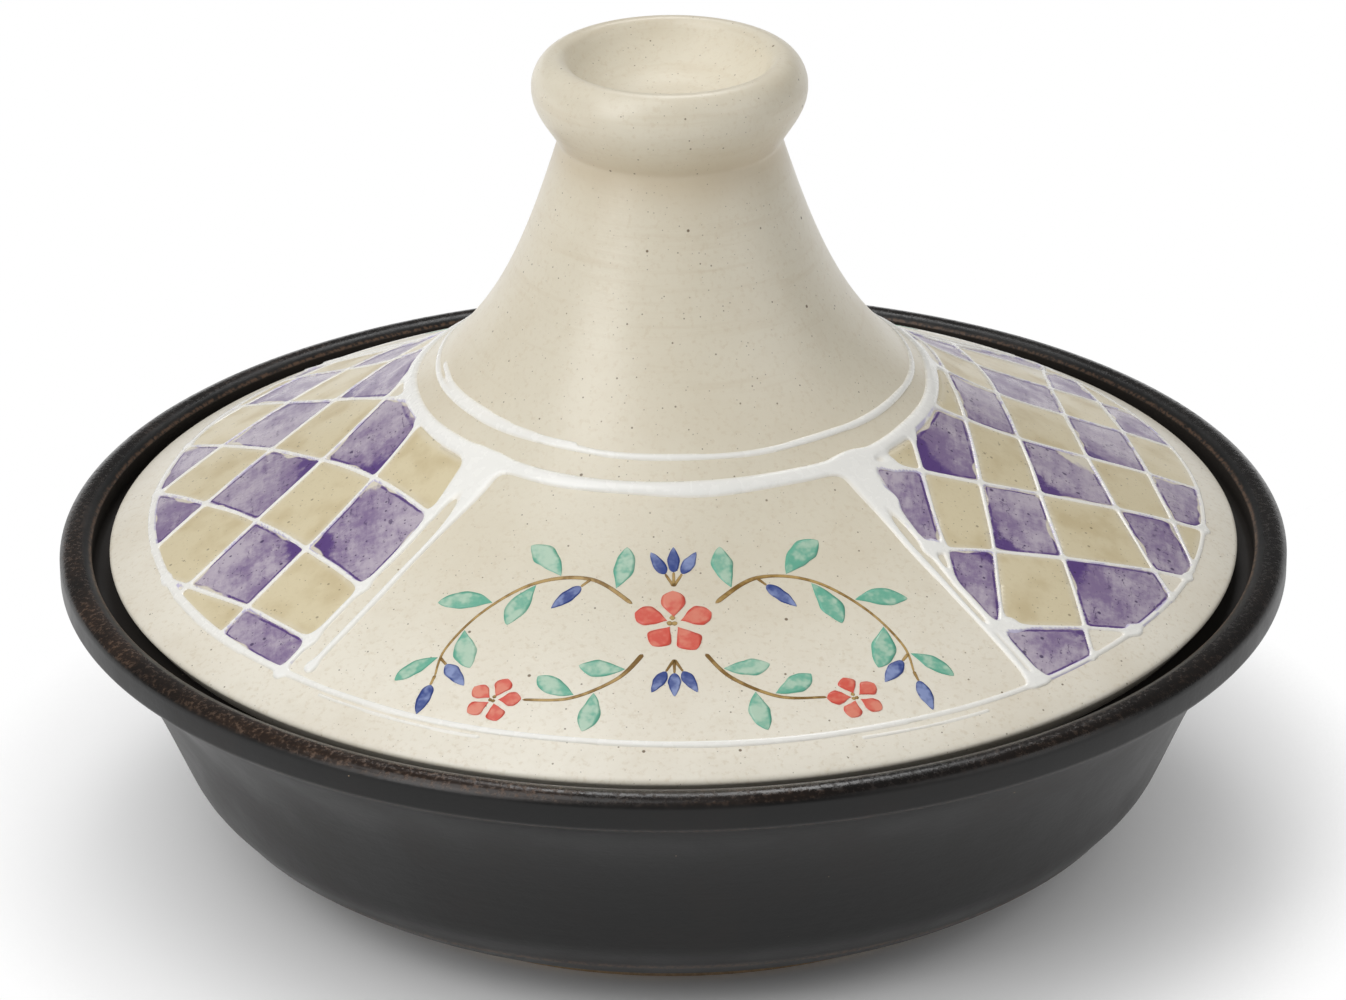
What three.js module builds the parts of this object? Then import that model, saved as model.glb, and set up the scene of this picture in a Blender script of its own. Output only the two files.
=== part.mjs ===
// A tagine of thrown stoneware: a shallow black dish and a cream, cone-shaped lid that lifts off it.
// Millimetres, +Z up. The origin is the middle of the foot ring, on the surface the dish stands on.
// Headings are directions in a half section, in degrees: 0 points away from the axis and 90 points up.

import * as THREE from 'three';

// Dish, from the foot up to the belly
const FOOT_RADIUS = 75.5; // outside of the foot ring
const FOOT_WIDTH = 7.5; // width of the flat that stands on the table
const FOOT_HEIGHT = 1; // upright side of the foot ring
const FOOT_RECESS = 2.2; // depth of the hollow inside the foot ring
const UNDERSIDE_HEADING = 29; // the trimmed underside as it leaves the foot
const HEEL_RADIUS = 96.4; // turned edge between the trimmed underside and the wall
const HEEL_HEIGHT = 13.5;
const HEEL_HEADING = 47; // the wall as it leaves the heel
const BELLY_RADIUS = 102; // outside of the wall where it stands steepest
const BELLY_HEIGHT = 20.8;
const BELLY_HEADING = 66;
const FLOOR_THICKNESS = 6.5; // clay between the recess and the cooking surface
const DISH_WALL = 6.5;

// Lip and gallery of the dish
const RIM_RADIUS = 125.7; // widest edge of the lip
const RIM_HEIGHT = 65; // crest of the lip above the table
const LIP_WIDTH = 6.6; // thickness of the lip across its top
const LIP_FACE = 7.8; // lower edge of the lip up to its crest
const LIP_EDGE = 1.3; // rounding of the lower edge
const LIP_ROUND = 2; // crest down to the top of the upright face
const LIP_CREST_INSET = 3.6; // crest in from the widest edge
const LIP_FALL = 1.2; // crest down to the lip's inner edge
const FLARE_HEADING = 38; // the wall as it runs out under the lip
const GALLERY_DEPTH = 6.4; // crest down to the ledge that carries the lid
const GALLERY_WIDTH = 13; // ledge from the lip in to the mouth of the dish
const GALLERY_FILLET = 1; // in the corner of the ledge and over its inner edge
const MOUTH_HEADING = 258; // inside of the wall as it leaves the ledge

// Lid, from its seat up to the crease under the knob
const LID_CLEARANCE = 3.5; // between the lid's edge and the lip around it
const SEAT_GAP = 0.3; // between the seat and the ledge below it
const SEAT_WIDTH = 6.6; // flat unglazed ring under the lid
const EDGE_ROUND = 2; // seat in from the lid's widest edge
const EDGE_HEIGHT = 3; // seat up to the lid's widest edge
const SHOULDER_INSET = 7.7; // outer slip ring in from the lid's edge
const SHOULDER_HEIGHT = 9; // seat up to the outer slip ring
const SHOULDER_HEADING = 153;
const CONE_TOP_RADIUS = 53; // where the cone runs into the neck
const CONE_HEIGHT = 37.9; // seat up to the top of the cone
const CONE_TOP_HEADING = 143.7;
const NECK_RADIUS = 22.4; // narrowest, in the crease under the knob
const NECK_HEIGHT = 52.6; // top of the cone up to the crease
const NECK_HEADING = 107.5;
const LID_WALL = 6;

// Cup-shaped knob on the lid
const KNOB_RADIUS = 27.6;
const KNOB_HEIGHT = 17.5; // crease up to the crest of the knob's lip
const KNOB_ROUND = 5.7; // crest of the knob's lip above its widest edge
const KNOB_HEADING = 62; // underside of the knob as it leaves the crease
const KNOB_CREST_INSET = 5; // crest in from the widest edge
const CUP_INSET = 2.8; // edge of the cup in from the crest
const CUP_EDGE = 3; // edge of the cup below the crest
const CUP_DEPTH = 10;
const CUP_FLOOR = 6; // clay between the cup and the hollow neck

// White slip rings that stand proud of the lid
const THIN_RING_WIDTH = 1.8;
const THICK_RING_WIDTH = 3;
const RING_RISE = 0.7;
const RING_SPACING = 4.7; // between the two rings at the foot of the neck

// Facets
const TURNS = 56; // steps round the axis
const BEAD_STEPS = 4; // steps over a slip ring
const STEP_LENGTH = 11; // longest step along a curve
const STEP_TURN = 22; // most degrees that a curve turns in a step
const LEAST_STEPS = 3;
const HANDLE = 0.36; // curve handles as a share of the distance that the curve spans

// Heights and radii that follow from the sizes above
const lipInside = RIM_RADIUS - LIP_WIDTH;
const mouthRadius = lipInside - GALLERY_WIDTH;
const ledgeHeight = RIM_HEIGHT - GALLERY_DEPTH;
const floorHeight = FOOT_RECESS + FLOOR_THICKNESS;
const seatHeight = ledgeHeight + SEAT_GAP;
const lidRadius = lipInside - LID_CLEARANCE;
const ringRadius = lidRadius - SHOULDER_INSET;
const coneTop = seatHeight + CONE_HEIGHT;
const neckTop = coneTop + NECK_HEIGHT;
const knobTop = neckTop + KNOB_HEIGHT;
const cupHeight = knobTop - CUP_DEPTH;
const hollowTop = cupHeight - CUP_FLOOR;

function heading(degrees) {
  const angle = THREE.MathUtils.degToRad(degrees);
  return new THREE.Vector2(Math.cos(angle), Math.sin(angle));
}

// A half section drawn as a run of points, each a radius and a height.
class Section {
  constructor(radius, height) {
    this.points = [new THREE.Vector2(radius, height)];
  }

  get end() {
    return this.points[this.points.length - 1];
  }

  lineTo(radius, height) {
    this.points.push(new THREE.Vector2(radius, height));
    return this;
  }

  // A smooth stretch that leaves its start and arrives at its end on the given headings.
  curveTo(radius, height, leaving, arriving) {
    const start = this.end;
    const finish = new THREE.Vector2(radius, height);
    const span = start.distanceTo(finish);
    const first = start.clone().addScaledVector(heading(leaving), span * HANDLE);
    const second = finish.clone().addScaledVector(heading(arriving), -span * HANDLE);
    const turn = Math.abs(arriving - leaving);
    const steps = Math.ceil(Math.max(LEAST_STEPS, span / STEP_LENGTH, turn / STEP_TURN));
    const curve = new THREE.CubicBezierCurve(start, first, second, finish);
    return this.follow(curve.getPoints(steps).slice(1));
  }

  follow(points) {
    this.points.push(...points);
    return this;
  }
}

// The same run of points moved to its left by a wall's thickness, which is into the vessel.
function inset(points, thickness) {
  return points.map((point, i) => {
    const before = points[Math.max(i - 1, 0)];
    const after = points[Math.min(i + 1, points.length - 1)];
    const along = after.clone().sub(before).normalize();
    return point.clone().addScaledVector(new THREE.Vector2(-along.y, along.x), thickness);
  });
}

// The point at a given radius on a run of points that narrows all the way.
function atRadius(points, radius) {
  const next = points.findIndex((point) => point.x <= radius);
  const from = points[next - 1];
  const to = points[next];
  return from.clone().lerp(to, (from.x - radius) / (from.x - to.x));
}

// A rounded bead of slip laid on a run of points that narrows all the way.
function layBead(points, radius, width) {
  const start = atRadius(points, radius + width / 2);
  const finish = atRadius(points, radius - width / 2);
  const along = finish.clone().sub(start).normalize();
  const outward = new THREE.Vector2(along.y, -along.x);
  const bead = [];
  for (let i = 0; i <= BEAD_STEPS; i++) {
    const share = i / BEAD_STEPS;
    const rise = RING_RISE * Math.sin(Math.PI * share);
    bead.push(start.clone().lerp(finish, share).addScaledVector(outward, rise));
  }
  const below = points.filter((point) => point.x > start.x);
  const above = points.filter((point) => point.x < finish.x);
  return [...below, ...bead, ...above];
}

// Turns a half section about the upright axis.
function turned(name, section, material) {
  const geometry = new THREE.LatheGeometry(section.points, TURNS);
  geometry.rotateX(Math.PI / 2);
  const mesh = new THREE.Mesh(geometry, material);
  mesh.name = name;
  return mesh;
}

// Dish: foot ring, trimmed underside, rounded wall, flared lip, and inside it the gallery for the lid.
function baseDish() {
  const footInside = FOOT_RADIUS - FOOT_WIDTH;
  const lipBottom = RIM_HEIGHT - LIP_FACE;
  const wall = new Section(HEEL_RADIUS, HEEL_HEIGHT)
    .curveTo(BELLY_RADIUS, BELLY_HEIGHT, HEEL_HEADING, BELLY_HEADING)
    .points;
  const inside = inset(wall, DISH_WALL).reverse();
  const section = new Section(0, FOOT_RECESS)
    .lineTo(footInside - FOOT_RECESS, FOOT_RECESS)
    .lineTo(footInside, 0)
    .lineTo(FOOT_RADIUS, 0)
    .lineTo(FOOT_RADIUS, FOOT_HEIGHT)
    .curveTo(HEEL_RADIUS, HEEL_HEIGHT, UNDERSIDE_HEADING, HEEL_HEADING)
    .follow(wall.slice(1))
    .curveTo(RIM_RADIUS - LIP_EDGE, lipBottom, BELLY_HEADING, FLARE_HEADING)
    .curveTo(RIM_RADIUS, lipBottom + LIP_EDGE, FLARE_HEADING, 90)
    .lineTo(RIM_RADIUS, RIM_HEIGHT - LIP_ROUND)
    .curveTo(RIM_RADIUS - LIP_CREST_INSET, RIM_HEIGHT, 90, 180)
    .curveTo(lipInside, RIM_HEIGHT - LIP_FALL, 180, 225)
    .lineTo(lipInside, ledgeHeight + GALLERY_FILLET)
    .lineTo(lipInside - GALLERY_FILLET, ledgeHeight)
    .lineTo(mouthRadius + GALLERY_FILLET, ledgeHeight)
    .lineTo(mouthRadius, ledgeHeight - GALLERY_FILLET)
    .curveTo(inside[0].x, inside[0].y, MOUTH_HEADING, BELLY_HEADING + 180)
    .follow(inside.slice(1))
    .curveTo(FOOT_RADIUS - DISH_WALL, floorHeight, HEEL_HEADING + 180, 180)
    .lineTo(0, floorHeight);
  const blackGlaze = new THREE.MeshStandardMaterial({ color: 0x33302e, roughness: 0.45, metalness: 0 });
  return turned('base_dish', section, blackGlaze);
}

// Lid: flat seat, rounded edge, hollow cone and neck, and the rolled knob with its cup.
function lid() {
  const seatOutside = lidRadius - EDGE_ROUND;
  const crestRadius = KNOB_RADIUS - KNOB_CREST_INSET;
  const edge = new Section(lidRadius, seatHeight + EDGE_HEIGHT)
    .curveTo(ringRadius, seatHeight + SHOULDER_HEIGHT, 90, SHOULDER_HEADING);
  const cone = new Section(edge.end.x, edge.end.y)
    .curveTo(CONE_TOP_RADIUS, coneTop, SHOULDER_HEADING, CONE_TOP_HEADING)
    .curveTo(NECK_RADIUS, neckTop, CONE_TOP_HEADING, NECK_HEADING)
    .points;
  const hollow = inset(cone, LID_WALL).filter((point) => point.y < hollowTop - LID_WALL).reverse();
  let outside = [...edge.points, ...cone.slice(1)];
  outside = layBead(outside, ringRadius, THIN_RING_WIDTH);
  outside = layBead(outside, CONE_TOP_RADIUS, THICK_RING_WIDTH);
  outside = layBead(outside, CONE_TOP_RADIUS - RING_SPACING, THIN_RING_WIDTH);
  const section = new Section(0, hollowTop)
    .curveTo(hollow[0].x, hollow[0].y, 360, NECK_HEADING + 180)
    .follow(hollow.slice(1))
    .lineTo(seatOutside - SEAT_WIDTH, seatHeight)
    .lineTo(seatOutside, seatHeight)
    .curveTo(lidRadius, seatHeight + EDGE_HEIGHT, 30, 90)
    .follow(outside.slice(1))
    .curveTo(KNOB_RADIUS, knobTop - KNOB_ROUND, KNOB_HEADING, 95)
    .curveTo(crestRadius, knobTop, 95, 180)
    .curveTo(crestRadius - CUP_INSET, knobTop - CUP_EDGE, 180, 250)
    .curveTo(0, cupHeight, 250, 180);
  const creamGlaze = new THREE.MeshStandardMaterial({ color: 0xd9d0b8, roughness: 0.3, metalness: 0 });
  return turned('lid', section, creamGlaze);
}

const tagine = new THREE.Group();
tagine.add(baseDish(), lid());

export default tagine;
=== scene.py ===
"""Looks of a stoneware tagine: a black-glazed dish and a cream lid with slip lines and brushed colours."""

import math
import random

import bpy
import numpy as np
from bpy.props import FloatProperty, FloatVectorProperty, IntProperty, PointerProperty
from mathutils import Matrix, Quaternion, Vector


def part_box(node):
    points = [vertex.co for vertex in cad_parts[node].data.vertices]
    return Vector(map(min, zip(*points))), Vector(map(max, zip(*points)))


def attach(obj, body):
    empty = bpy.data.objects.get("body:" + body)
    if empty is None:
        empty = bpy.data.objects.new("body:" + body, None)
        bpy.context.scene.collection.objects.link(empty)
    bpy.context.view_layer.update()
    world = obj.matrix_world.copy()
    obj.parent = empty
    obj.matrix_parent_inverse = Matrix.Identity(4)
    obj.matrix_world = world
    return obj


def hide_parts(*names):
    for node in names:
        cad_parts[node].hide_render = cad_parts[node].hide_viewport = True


bl_info = {
    "name": "Stoneware tagine",
    "version": (1, 0, 0),
    "blender": (4, 5, 0),
    "location": "3D View > Sidebar > Tagine",
    "description": "Makes the glazed dish, the painted lid and the studio around the packed solids",
    "category": "Add Mesh",
}

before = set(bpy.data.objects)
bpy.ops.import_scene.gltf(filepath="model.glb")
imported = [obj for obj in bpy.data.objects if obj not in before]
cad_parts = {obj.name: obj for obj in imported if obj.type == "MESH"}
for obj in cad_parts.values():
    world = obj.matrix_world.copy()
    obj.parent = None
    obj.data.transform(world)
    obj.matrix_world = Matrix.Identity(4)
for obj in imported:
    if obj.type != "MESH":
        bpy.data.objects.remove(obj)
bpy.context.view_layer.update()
dish_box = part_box("base_dish")
lid_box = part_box("lid")

MM = 0.001

# Fineness of the meshes
TURNS = 288  # steps round the axis
STEP_LENGTH = 1.6 * MM  # longest step along a curve of a section
STEP_TURN = math.radians(6)  # most that a curve turns in a step
HANDLE = 0.36  # curve handles as a share of the distance that the curve spans
EASE_STEPS = 4  # steps round an eased corner
EASED_FROM = math.radians(14)  # corners that turn less stay as they are
EASE_SHARE = 0.45  # most of a side that an eased corner takes up
SLIP_GRID = 0.3 * MM
WASH_GRID = 0.8 * MM
STROKE_STEPS = 40  # steps along a brush stroke
STROKE_RIBS = 7  # places across a brush stroke
STEM_STEPS = 14  # steps of a stem from one given place to the next

# Headings in the half sections that don't depend on a size
UPRIGHT = math.radians(90)
HALF_TURN = math.radians(180)
LIP_INSIDE = math.radians(225)  # lip as it reaches its inner edge
BEVEL = math.radians(52)  # bevel under the lid's widest edge
BRIM = math.radians(148)  # lid just above its widest edge
KNOB_SIDE = math.radians(95)  # knob at its widest edge
CUP_SIDE = math.radians(238)  # cup at its edge

# Turn of the lid's widest edge, in shares of its rounding
BRIM_RISE = 1.3  # up to where the shoulder begins
BEVEL_IN, BEVEL_DOWN = 0.3, 0.7  # in and down to where the bevel ends

# What hands leave on thrown clay and in a trailed or brushed line
UNROUND = 0.0011  # share by which the clay is out of round
DISH_THROW, LID_THROW = 3, 5  # seeds of that for the two pieces
WAVE = 6.28  # length of a wave in radians


def length(name, description, default):
    """A size in metres."""
    return FloatProperty(name=name, description=description, default=default, min=0, unit="LENGTH")


def heading(name, description, degrees):
    """An angle. A direction in a half section is 0 away from the axis and 90 upwards."""
    return FloatProperty(name=name, description=description, default=math.radians(degrees), subtype="ANGLE")


def power(name, description, watts):
    """Power of a lamp."""
    return FloatProperty(name=name, description=description, default=watts, min=0, unit="POWER")


def colour(name, description, *levels):
    """A colour given as it shows on a screen, in levels from 0 to 255."""
    shares = [level / 255 for level in levels]
    linear = [s / 12.92 if s <= 0.04045 else ((s + 0.055) / 1.055) ** 2.4 for s in shares]
    return FloatVectorProperty(
        name=name, description=description, default=(*linear, 1), size=4, min=0, max=1, subtype="COLOR"
    )


class TAGINE_PG_dish(bpy.types.PropertyGroup):
    """Sizes of the dish"""

    foot_radius: length("Foot radius", "Outside of the foot ring", 75.5 * MM)
    foot_width: length("Foot width", "Flat that stands on the table", 7.5 * MM)
    foot_height: length("Foot height", "Upright side of the foot ring", 1 * MM)
    foot_recess: length("Foot recess", "Depth of the hollow inside the foot ring", 2.2 * MM)
    underside_heading: heading("Underside heading", "Trimmed underside as it leaves the foot", 29)
    heel_radius: length("Heel radius", "Turned edge between the underside and the wall", 96.4 * MM)
    heel_height: length("Heel height", "Turned edge above the table", 13.5 * MM)
    heel_heading: heading("Heel heading", "Wall as it leaves the heel", 47)
    heel_turn: heading("Heel turn", "How far the wall turns up at the heel", 7)
    belly_radius: length("Belly radius", "Outside of the wall where it stands steepest", 102 * MM)
    belly_height: length("Belly height", "Steepest part of the wall above the table", 20.8 * MM)
    belly_heading: heading("Belly heading", "Wall where it stands steepest", 66)
    floor: length("Floor", "Clay between the recess and the cooking surface", 6.5 * MM)
    wall: length("Wall", "Thickness of the wall", 6.5 * MM)
    rim_radius: length("Rim radius", "Widest edge of the lip", dish_box[1].x)
    rim_height: length("Rim height", "Crest of the lip above the table", dish_box[1].z)
    lip_width: length("Lip width", "Thickness of the lip across its top", 6.6 * MM)
    lip_face: length("Lip face", "Lower edge of the lip up to its crest", 7.8 * MM)
    lip_edge: length("Lip edge", "Rounding of the lower edge", 2 * MM)
    lip_round: length("Lip round", "Crest down to the top of the upright face", 2.4 * MM)
    lip_crest: length("Lip crest", "Crest in from the widest edge", 3.6 * MM)
    lip_fall: length("Lip fall", "Crest down to the lip's inner edge", 1.2 * MM)
    flare_heading: heading("Flare heading", "Wall as it runs out under the lip", 38)
    gallery_depth: length("Gallery depth", "Crest down to the ledge that carries the lid", 6.4 * MM)
    gallery_width: length("Gallery width", "Ledge from the lip in to the mouth", 13 * MM)
    gallery_fillet: length("Gallery fillet", "In the corner of the ledge and over its inner edge", 1 * MM)
    mouth_heading: heading("Mouth heading", "Inside of the wall as it leaves the ledge", 258)
    ease: length("Ease", "Softening of turned corners", 0.6 * MM)


class TAGINE_PG_lid(bpy.types.PropertyGroup):
    """Sizes of the lid"""

    radius: length("Radius", "Widest edge of the lid", lid_box[1].x)
    seat_height: length("Seat height", "Flat ring under the lid above the table", lid_box[0].z)
    seat_width: length("Seat width", "Flat ring under the lid", 5.3 * MM)
    edge_bevel: length("Edge bevel", "Seat in from the widest edge", 3.3 * MM)
    edge_height: length("Edge height", "Seat up to the widest edge", 4.4 * MM)
    edge_turn: length("Edge turn", "Rounding of the widest edge", 0.8 * MM)
    shoulder_inset: length("Shoulder inset", "Shoulder in from the widest edge", 7.7 * MM)
    shoulder_height: length("Shoulder height", "Seat up to the shoulder", 9 * MM)
    shoulder_heading: heading("Shoulder heading", "Cone as it leaves the shoulder", 153)
    cone_radius: length("Cone radius", "Where the cone runs into the neck", 53 * MM)
    cone_height: length("Cone height", "Seat up to the top of the cone", 37.9 * MM)
    cone_heading: heading("Cone heading", "Cone where it runs into the neck", 143.7)
    neck_radius: length("Neck radius", "Narrowest, in the crease under the knob", 22.4 * MM)
    neck_height: length("Neck height", "Top of the cone up to the crease", 52.6 * MM)
    neck_heading: heading("Neck heading", "Neck as it reaches the crease", 107.5)
    wall: length("Wall", "Thickness of the wall", 6 * MM)
    knob_radius: length("Knob radius", "Widest edge of the knob", 27.6 * MM)
    knob_top: length("Knob top", "Crest of the knob above the table", lid_box[1].z)
    knob_round: length("Knob round", "Crest of the knob above its widest edge", 5.7 * MM)
    knob_heading: heading("Knob heading", "Underside of the knob as it leaves the crease", 62)
    knob_crest: length("Knob crest", "Crest in from the widest edge", 5 * MM)
    cup_inset: length("Cup inset", "Edge of the cup in from the crest", 3.6 * MM)
    cup_edge: length("Cup edge", "Edge of the cup below the crest", 3.2 * MM)
    cup_depth: length("Cup depth", "Floor of the cup below the crest", 10 * MM)
    cup_floor: length("Cup floor", "Clay between the cup and the hollow neck", 6 * MM)
    ease: length("Ease", "Softening of turned corners", 0.8 * MM)


class TAGINE_PG_ornament(bpy.types.PropertyGroup):
    """Sizes of the slip lines and the brushed colours on the lid"""

    upper_ring: length("Upper ring", "Radius of the thin ring at the foot of the neck", 48.1 * MM)
    middle_ring: length("Middle ring", "Radius of the thick ring above the panels", 53.1 * MM)
    outer_ring: length("Outer ring", "Radius of the thin ring below the panels", 107.7 * MM)
    thin_line: length("Thin line", "Width of the thin rings", 1.4 * MM)
    thick_line: length("Thick line", "Width of the thick ring", 2.7 * MM)
    border_line: length("Border line", "Width of the lines between the panels", 1.5 * MM)
    border_flare: length("Border flare", "Widening of those lines where they leave the thick ring", 1.7 * MM)
    lattice_line: length("Lattice line", "Width of the lines between the checks", 1.0 * MM)
    slip_rise: length("Slip rise", "Height of the slip above the glaze", 0.55 * MM)
    slip_root: length("Slip root", "Depth of the slip in the glaze", 0.3 * MM)
    film: length("Film", "Height of brushed colour above the glaze", 0.05 * MM)
    petal: length("Petal", "Length of a petal of the large flower", 6.4 * MM)
    leaf: length("Leaf", "Length of the longest leaves", 11.5 * MM)
    bud: length("Bud", "Length of a bud", 7.5 * MM)
    stem: length("Stem", "Width of a stem", 0.95 * MM)
    seed: IntProperty(
        name="Seed", description="Another number draws the lines in another way", default=7, min=0
    )


class TAGINE_PG_colours(bpy.types.PropertyGroup):
    """Colours of the glazes, the slip and the brushed colours"""

    cream: colour("Cream glaze", "Lid", 230, 222, 202)
    # Pale cream is laid on more towards the brim.
    cream_pale: colour("Pale cream", "Where the cream glaze has run together", 243, 237, 222)
    # Warm cream is also painted into the crease under the knob as shade.
    cream_warm: colour("Warm cream", "Where the cream glaze lies thinner", 214, 200, 174)
    iron: colour("Iron", "Specks in the cream glaze", 112, 92, 66)
    black: colour("Black glaze", "Dish", 22, 22, 22)
    black_warm: colour("Warm black", "Where the black glaze lies thinner", 31, 29, 28)
    # Gallery black is painted lighter than the glaze: painted light in the shaded gap between lid and lip.
    gallery_painted_light: colour("Thin black", "Gallery, where the lid has rubbed the glaze", 45, 41, 38)
    brown_black: colour("Brown black", "Crest of the lip", 19, 17, 16)
    brown: colour("Brown glaze", "Where the glaze on the lip has turned brown", 44, 34, 28)
    broken: colour("Broken glaze", "Brown that the black glaze breaks to over edges", 96, 75, 60)
    clay: colour("Bare clay", "Foot of the dish and seat of the lid", 196, 170, 138)
    slip: colour("Slip", "White lines", 251, 250, 245)
    slip_thin: colour("Thin slip", "Where the white slip lies thin", 246, 242, 232)
    lavender: colour("Lavender", "Purple that has run into the slip", 188, 180, 218)
    tan: colour("Tan wash", "Light checks", 225, 212, 178)
    tan_deep: colour("Deep tan", "Where the tan wash lies thicker", 204, 186, 145)
    purple_pale: colour("Pale purple", "Where the purple wash lies thin", 193, 182, 195)
    purple: colour("Purple", "Dark checks", 136, 116, 153)
    purple_deep: colour("Deep purple", "Where the purple wash pools", 90, 62, 128)
    purple_dark: colour("Dark purple", "Specks in the purple wash", 58, 40, 84)
    coral: colour("Coral", "Petals", 221, 88, 72)
    coral_pale: colour("Pale coral", "Where the coral lies thin", 232, 142, 120)
    teal: colour("Teal", "Leaves", 104, 180, 154)
    teal_pale: colour("Pale teal", "Where the teal lies thin", 186, 214, 192)
    blue: colour("Blue", "Buds", 46, 68, 138)
    blue_pale: colour("Pale blue", "Where the blue lies thin", 142, 156, 200)
    umber: colour("Umber", "Stems", 126, 92, 30)
    umber_pale: colour("Pale umber", "Where the umber lies thin", 192, 160, 100)


class TAGINE_PG_stage(bpy.types.PropertyGroup):
    """Camera, lamps and floor"""

    distance: length("Distance", "Camera to the middle of the lip", 1.25)
    elevation: heading("Elevation", "Camera above the level of the lip", 24.57)
    aim_height: length("Aim height", "Point that the camera looks at, above the table", 69.8 * MM)
    roll: heading("Roll", "Tilt of the camera", -0.47)
    lens: FloatProperty(
        name="Lens", description="Focal length in millimetres", default=162.6, min=1, unit="CAMERA"
    )
    key: power("Key", "Power of the large lamp overhead", 6.5)
    front: power("Front", "Power of the lamp at the left front", 10.6)
    back: power("Back", "Power of the lamp behind", 5.0)
    fill: power("Fill", "Power of the lamp at the right", 6.0)
    ambient: FloatProperty(name="Ambient", description="Light of the room itself", default=0.16, min=0)


class TAGINE_PG_settings(bpy.types.PropertyGroup):
    """All the settings of the tagine"""

    dish: PointerProperty(type=TAGINE_PG_dish)
    lid: PointerProperty(type=TAGINE_PG_lid)
    ornament: PointerProperty(type=TAGINE_PG_ornament)
    colours: PointerProperty(type=TAGINE_PG_colours)
    stage: PointerProperty(type=TAGINE_PG_stage)


# Half sections


class Section:
    """A half section drawn as a run of points, each a radius and a height."""

    def __init__(self, radius, height):
        self.points = [np.array([radius, height])]

    def line_to(self, radius, height):
        self.points.append(np.array([radius, height]))
        return self

    def curve_to(self, radius, height, leaving, arriving):
        """A smooth stretch that leaves its start and arrives at its end on the given headings."""
        start, finish = self.points[-1], np.array([radius, height])
        span = np.linalg.norm(finish - start)
        first = start + span * HANDLE * toward(leaving)
        second = finish - span * HANDLE * toward(arriving)
        steps = math.ceil(max(3, span / STEP_LENGTH, abs(arriving - leaving) / STEP_TURN))
        for step in range(1, steps + 1):
            t = step / steps
            s = 1 - t
            self.points.append(s**3 * start + 3 * s * s * t * first + 3 * s * t * t * second + t**3 * finish)
        return self

    def follow(self, points):
        self.points.extend(points)
        return self


def toward(angle):
    return np.array([math.cos(angle), math.sin(angle)])


def inset(points, thickness):
    """The same run of points moved to its left by a wall's thickness, which is into the vessel."""
    along = np.gradient(np.array(points), axis=0)
    along /= np.linalg.norm(along, axis=1)[:, None]
    return list(np.array(points) + thickness * np.column_stack([-along[:, 1], along[:, 0]]))


def eased(points, reach):
    """The run of points with its sharp corners rounded, as a wet sponge leaves them."""
    made = [points[0]]
    for before, corner, after in zip(points, points[1:], points[2:]):
        back, ahead = before - corner, after - corner
        sizes = np.linalg.norm(back), np.linalg.norm(ahead)
        turn = math.acos(np.clip(-back @ ahead / (sizes[0] * sizes[1]), -1, 1))
        if turn < EASED_FROM:
            made.append(corner)
            continue
        room = min(reach, EASE_SHARE * sizes[0], EASE_SHARE * sizes[1])
        first, last = corner + back / sizes[0] * room, corner + ahead / sizes[1] * room
        for t in np.linspace(0, 1, EASE_STEPS + 1):
            made.append((1 - t) ** 2 * first + 2 * t * (1 - t) * corner + t * t * last)
    made.append(points[-1])
    return np.array(made)


def dish_section(size):
    """Foot ring, trimmed underside, wall, lip, gallery and inside of the dish."""
    lip_inside = size.rim_radius - size.lip_width
    lip_bottom = size.rim_height - size.lip_face
    mouth = lip_inside - size.gallery_width
    ledge = size.rim_height - size.gallery_depth
    floor = size.foot_recess + size.floor
    foot_inside = size.foot_radius - size.foot_width
    fillet = size.gallery_fillet
    below_heel = size.heel_heading - size.heel_turn
    above_heel = size.heel_heading + size.heel_turn
    wall = Section(size.heel_radius, size.heel_height)
    wall.curve_to(size.belly_radius, size.belly_height, above_heel, size.belly_heading)
    inside = inset(wall.points, size.wall)[::-1]
    section = (
        Section(0, size.foot_recess)
        .line_to(foot_inside - size.foot_recess, size.foot_recess)
        .line_to(foot_inside, 0)
        .line_to(size.foot_radius, 0)
        .line_to(size.foot_radius, size.foot_height)
        .curve_to(size.heel_radius, size.heel_height, size.underside_heading, below_heel)
        .follow(wall.points[1:])
        .curve_to(size.rim_radius - size.lip_edge, lip_bottom, size.belly_heading, size.flare_heading)
        .curve_to(size.rim_radius, lip_bottom + size.lip_edge, size.flare_heading, UPRIGHT)
        .line_to(size.rim_radius, size.rim_height - size.lip_round)
        .curve_to(size.rim_radius - size.lip_crest, size.rim_height, UPRIGHT, HALF_TURN)
        .curve_to(lip_inside, size.rim_height - size.lip_fall, HALF_TURN, LIP_INSIDE)
        .line_to(lip_inside, ledge + fillet)
        .line_to(lip_inside - fillet, ledge)
        .line_to(mouth + fillet, ledge)
        .line_to(mouth, ledge - fillet)
        .curve_to(*inside[0], size.mouth_heading, size.belly_heading + HALF_TURN)
        .follow(inside[1:])
        .curve_to(size.foot_radius - size.wall, floor, size.heel_heading + HALF_TURN, HALF_TURN)
        .line_to(0, floor)
    )
    return eased(section.points, size.ease)


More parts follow.
